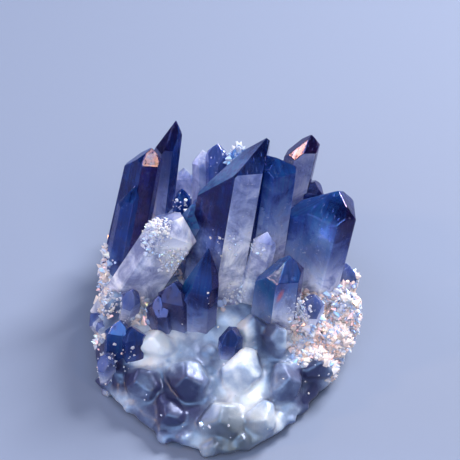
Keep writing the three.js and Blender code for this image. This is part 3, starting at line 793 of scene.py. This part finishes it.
mound = crystal_object("quartz_mass", bed_mesh(), Matrix.Identity(4))
skin = bmesh.new()
for made in [mound, *stubs]:
    skin.from_mesh(made.data)
skin.to_mesh(mound.data)
skin.free()
for stub in stubs:
    bpy.data.objects.remove(stub)
redraw = mound.modifiers.new("skin", "REMESH")
redraw.mode = "VOXEL"
redraw.voxel_size = SKIN_CELL * MM
drawn = bpy.data.meshes.new_from_object(
    mound.evaluated_get(bpy.context.evaluated_depsgraph_get()))
mound.modifiers.remove(redraw)
mound.data = drawn
skin = bmesh.new()
skin.from_mesh(drawn)
for _ in range(SKIN_ROUNDS):
    bmesh.ops.smooth_vert(
        skin, verts=skin.verts, factor=0.5, use_axis_x=True, use_axis_y=True, use_axis_z=True)
skin.normal_update()
moves = []
for corner in skin.verts:
    place = corner.co / MM
    near, _ = noise.voronoi(place / KNOB_WIDTH, distance_metric="DISTANCE")
    fine_near, _ = noise.voronoi(place / (KNOB_WIDTH * 0.4), distance_metric="DISTANCE")
    knob = (0.45 - near[0]) + (0.45 - fine_near[0]) * 0.2
    above = smoothstep(place.z, 0.2, 1.5)
    moves.append(corner.normal * knob * KNOB_RELIEF * above * MM)
for corner, move in zip(skin.verts, moves):
    corner.co += move
skin_growth = skin.loops.layers.uv.new("Growth")
skin_zone = skin.loops.layers.float_color.new("Zone")
for face in skin.faces:
    face.smooth = True
    place = face.calc_center_median() / MM + BOX_MIDDLE
    # Smoky patches, partly painted shade, and milkier ones, partly painted light.
    smokiness_and_shade = sum(much * smoothstep(-(place.xy - Vector(spot)).length, -size, 0)
                for spot, size, much in SMOKINESS_AND_PAINTED_SHADE)
    grey = smoothstep(-(place.xy - Vector(GREY[0])).length, -GREY[1], 0)
    for loop in face.loops:
        loop[skin_growth].uv = (place.x, place.z)
        loop[skin_zone] = (0.5 + smokiness_and_shade, grey, 0.6, 0.3)
skin.to_mesh(mound.data)
skin.free()

cluster = mound
cluster.data.materials.append(milky)
for point in points:
    point.data.materials.append(film_coated)
    join = cluster.modifiers.new("grown together", "BOOLEAN")
    join.operation = "UNION"
    join.solver = "MANIFOLD"
    join.material_mode = "TRANSFER"
    join.object = point
    joined = bpy.data.meshes.new_from_object(
        cluster.evaluated_get(bpy.context.evaluated_depsgraph_get()))
    cluster.modifiers.remove(join)
    cluster.data = joined
    bpy.data.objects.remove(point)

# The saw cut takes off whatever reaches below the bed.
low_limit, high_limit = cad_box


def keep_inside(grown):
    """Flattens the corners that stand out of the cut-out solid's box, by under 0.1 mm."""
    for corner in grown.verts:
        for axis in range(3):
            corner.co[axis] = min(max(corner.co[axis], low_limit[axis]), high_limit[axis])


sawn = bmesh.new()
sawn.from_mesh(cluster.data)
cut = bmesh.ops.bisect_plane(
    sawn, geom=sawn.verts[:] + sawn.edges[:] + sawn.faces[:], plane_co=(0, 0, 0),
    plane_no=(0, 0, -1), clear_outer=True, dist=1e-8)
rim = [piece for piece in cut["geom_cut"] if isinstance(piece, bmesh.types.BMEdge)]
bmesh.ops.holes_fill(sawn, edges=rim)
keep_inside(sawn)
sawn.to_mesh(cluster.data)
sawn.free()
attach(cluster, "root")
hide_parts("quartz_cluster")

# ---------------------------------------------------------------- the sugar and the small crystals
# A glittering sugar of thousands of tiny crystals, from a quarter to nearly two millimetres long,
# covers the bed in patches. It is thickest on the right rim, and thinner behind, between the feet
# of the blades and on the left rim.

SUGAR_TRIES = 180000
SUGAR_LENGTH = (0.5, 1.8)
SUGAR_SLENDERNESS = (0.5, 0.75)
SUGAR_SEED = 11
# Where the sugar is sparser than this, its grains are the finer ones.
SPARSE = 0.06
# How thick it lies at the left rim, behind, between the blades and anywhere else, next to 1 on the
# right rim, and how wide its clumps are.
SUGAR_AT_LEFT = 0.17
SUGAR_BEHIND = 0.35
SUGAR_BETWEEN = 0.3
SUGAR_ELSEWHERE = 0.006
CLUMP_WIDTH = 3.2
# Grains at the back keep this share of their pinkness, and no grain grows lower than this.
BACK_TINT = 0.25
LOWEST_GRAIN = 1.2
# The middle points at the back carry the sugar up to their tips: middle, radius, and how thick.
CRUSTED = ((3, 17.5, 27), 8, 0.12)
# Patches of finer grains that have settled on the crystals: middle, radius, and how thick they lie.
GLITTER = [
    ((-13, -5.6, 29), 4, 1.3), ((-14.3, -7.3, 26), 3, 0.6), ((-9.3, -7, 22.5), 4.5, 1.5),
    ((-3.5, -14.6, 20.5), 2.2, 0.08), ((14.3, -12.4, 15), 4.5, 0.5), ((1, -7.3, 28), 5, 0.1),
    ((-21.9, -10.6, 15), 3.5, 0.5), ((6, -7, 26), 2.5, 0.3),
    ((1.5, -8, 15), 4, 0.3), ((-8.3, 0, 30.5), 2.5, 0.25),
]
GLITTER_LENGTH = (0.25, 0.9)


def sugar_grain(half, length, tint):
    """The six closing faces of one tiny crystal, its shaft hidden in the crust below z = 0."""
    grain = bmesh.new()
    bmesh.ops.create_cone(
        grain, cap_ends=True, segments=6, radius1=half, radius2=0, depth=length,
        matrix=Matrix.Translation((0, 0, length * 0.25)))
    zone = grain.loops.layers.float_color.new("Zone")
    for face in grain.faces:
        for loop in face.loops:
            loop[zone] = (0.3, tint, 1, 0.3)
    mesh = bpy.data.meshes.new("sugar grain")
    grain.to_mesh(mesh)
    grain.free()
    return mesh


def sugar_density(place):
    """How likely a spot, in the cluster's own millimetres, is to carry a tiny crystal."""
    crest = CREST * lerp(FRONT_CREST, 1, smoothstep(place.y, FRONT_Y, CREST_Y))
    clumps = smoothstep(noise.noise(place / CLUMP_WIDTH), -0.25, 0.35)
    right_rim = (smoothstep(place.x, 11, 15) * smoothstep(place.y, -21.5, -17.5)
                 * smoothstep(-place.y, -6, -1))
    left_rim = smoothstep(-place.x, 15, 20) * smoothstep(place.y, -24, -14) * SUGAR_AT_LEFT
    behind = smoothstep(place.y, 4, 12) * SUGAR_BEHIND
    inner = SUGAR_BETWEEN * smoothstep(place.y, -14, -8)
    thick = max(right_rim * (0.5 + 0.5 * clumps), left_rim * clumps, behind * clumps,
                inner * clumps, SUGAR_ELSEWHERE * clumps)
    low = thick * (1 - smoothstep(place.z, crest, crest + 3))
    return max(low, CRUSTED[2] * smoothstep(-(place - Vector(CRUSTED[0])).length, -CRUSTED[1], 0))


def glitter_density(place):
    return max(much * smoothstep(-(place - Vector(spot)).length, -size, 0)
               for spot, size, much in GLITTER)


druze = bmesh.new()
druze.loops.layers.uv.new("Growth")
druze.loops.layers.float_color.new("Zone")
for part in loose_druze:
    druze.from_mesh(part.data)
    bpy.data.objects.remove(part)
film_faces = len(druze.faces)
crust_faces = bmesh.new()
crust_faces.from_mesh(cluster.data)
bmesh.ops.triangulate(crust_faces, faces=crust_faces.faces[:])
triangles = crust_faces.faces[:]
areas = [face.calc_area() for face in triangles]
chance = random.Random(SUGAR_SEED)
for face in chance.choices(triangles, weights=areas, k=SUGAR_TRIES):
    share_a, share_b = sorted((chance.random(), chance.random()))
    corners = [corner.co for corner in face.verts]
    spot = corners[0] * share_a + corners[1] * (share_b - share_a) + corners[2] * (1 - share_b)
    place = spot / MM + BOX_MIDDLE
    if place.z < LOWEST_GRAIN or face.normal.z < -0.2:
        continue
    density = sugar_density(place)
    sizes = SUGAR_LENGTH if density > SPARSE else GLITTER_LENGTH
    if chance.random() > density:
        sizes = GLITTER_LENGTH
        if chance.random() > glitter_density(place):
            continue
    length = lerp(*sizes, chance.random() ** 3)
    half = length * chance.uniform(*SUGAR_SLENDERNESS)
    jitter = Vector((chance.uniform(-1, 1), chance.uniform(-1, 1), chance.uniform(-0.4, 1)))
    direction = (face.normal + jitter * 0.6).normalized()
    tip = spot + direction * length * 0.8 * MM
    if any(not low_limit[k] < tip[k] < high_limit[k] for k in range(3)) or tip.z < 0.4 * MM:
        continue
    # Those at the back are bluer, and the finer ones whiter.
    tint = chance.random() * lerp(1, BACK_TINT, smoothstep(place.y, 8, 16))
    if sizes is GLITTER_LENGTH:
        tint = 0.2 + 0.35 * tint
    grain = sugar_grain(half * MM, length * MM, tint)
    turned = direction.to_track_quat("Z", "Y").to_matrix().to_4x4()
    spin = Matrix.Rotation(chance.uniform(0, 1), 4, "Z")
    grain.transform(Matrix.Translation(spot) @ turned @ spin)
    druze.from_mesh(grain)
    bpy.data.meshes.remove(grain)
crust_faces.free()
keep_inside(druze)
druze.faces.ensure_lookup_table()
for face in druze.faces[film_faces:]:
    face.material_index = 1
druze_mesh = bpy.data.meshes.new("druze")
druze.to_mesh(druze_mesh)
druze.free()

# White quartz sugar with the same kind of film. Each grain's film is thin or thick, so that some
# grains glint bluish white and others pink.
sugar, tree, place, (_, own, _, _) = zoned_material("film_coated_quartz_sugar")
colour = add(tree, "ShaderNodeValToRGB", {"Fac": own}, steps=[
    (0.0, "#b4ccf4"), (0.3, "#eaeefb"), (0.6, "#fff8fa"), (1.0, "#ffe0de")])
patch = add(tree, "ShaderNodeTexNoise", {"Vector": place, "Scale": per_mm(4), "Detail": 2.0})
film = add(tree, "ShaderNodeMapRange", {
    "Value": own, "From Min": 0.46, "From Max": 0.54, "To Min": 160.0, "To Max": 247.0})
rough = add(tree, "ShaderNodeMapRange", {
    "Value": patch.outputs["Fac"], "From Min": 0.35, "From Max": 0.65,
    "To Min": 0.05, "To Max": 0.16})
shader = add(tree, "ShaderNodeBsdfPrincipled", {
    "Base Color": colour.outputs[0], "Roughness": rough.outputs[0], "IOR": QUARTZ_INDEX,
    "Transmission Weight": 0.2, "Subsurface Weight": 0.5, "Subsurface Radius": (0.9, 0.9, 1.0),
    "Subsurface Scale": 0.8 * MM, "Thin Film Thickness": film.outputs[0], "Thin Film IOR": 2.0})
add(tree, "ShaderNodeOutputMaterial", {"Surface": shader.outputs[0]})

druze_mesh.materials.append(film_coated)
druze_mesh.materials.append(sugar)
crust = bpy.data.objects.new("druze", druze_mesh)
bpy.context.collection.objects.link(crust)
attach(crust, "root")

# ---------------------------------------------------------------- floor and light
# A matt table that the lamps light to a pale blue grey. The strongest lamp stands behind to the
# right, with broad soft fills in front and at the left.

table = bmesh.new()
bmesh.ops.create_grid(table, x_segments=1, y_segments=1, size=8)
bmesh.ops.translate(table, verts=table.verts, vec=(0, 0, -0.02 * MM))
table_mesh = bpy.data.meshes.new("table")
table.to_mesh(table_mesh)
table.free()
floor = bpy.data.objects.new("table", table_mesh)
bpy.context.collection.objects.link(floor)
pale = bpy.data.materials.new("pale_matt_board")
pale.use_nodes = True
board = pale.node_tree.nodes["Principled BSDF"]
board.inputs["Base Color"].default_value = linear("#67758f")
board.inputs["Roughness"].default_value = 0.8
floor.data.materials.append(pale)

world = bpy.data.worlds.new("soft studio")
bpy.context.scene.world = world
world.use_nodes = True
world.node_tree.nodes["Background"].inputs["Color"].default_value = linear("#a9b4d4")
world.node_tree.nodes["Background"].inputs["Strength"].default_value = 0.2


def soft_lamp(name, aim, azimuth, elevation, distance, size, power, hex_colour):
    """A square soft lamp that looks at the aim. Azimuth 0 is in front, 90 at the right."""
    lamp = bpy.data.lights.new(name, "AREA")
    lamp.shape = "SQUARE"
    lamp.size = size
    lamp.energy = power
    lamp.color = linear(hex_colour)[:3]
    stand = bpy.data.objects.new(name, lamp)
    bpy.context.collection.objects.link(stand)
    side, up = math.radians(azimuth), math.radians(elevation)
    toward = Vector((math.sin(side) * math.cos(up), -math.cos(side) * math.cos(up), math.sin(up)))
    stand.location = aim + toward * distance
    stand.rotation_euler = (-toward).to_track_quat("-Z", "Y").to_euler()


soft_lamp("key behind right", LOOK_AT, 132, 46, 0.5, 0.18, 6.0, "#fff6f0")
soft_lamp("fill in front", LOOK_AT, 0, 52, 0.6, 0.5, 3.4, "#e4edff")
soft_lamp("low fill at left", LOOK_AT, -45, 18, 0.6, 0.4, 1.0, "#e4edff")
soft_lamp("rim at left", LOOK_AT, -120, 30, 0.5, 0.2, 0.9, "#dfe6ff")
# Two small warm lamps stand where the closing faces of the two outer blades mirror them.
LEFT_GLINT = (Vector((-13.5, 8.2, 35.5)) - BOX_MIDDLE) * MM
RIGHT_GLINT = (Vector((14.1, 8.4, 38)) - BOX_MIDDLE) * MM
soft_lamp("warm lamp at right", LEFT_GLINT, 36, 41, 0.6, 0.07, 0.46, "#ffc276")
soft_lamp("warm lamp at left", RIGHT_GLINT, -80, 30, 0.6, 0.06, 1.0, "#ffc080")
bpy.context.scene.view_settings.view_transform = "Standard"
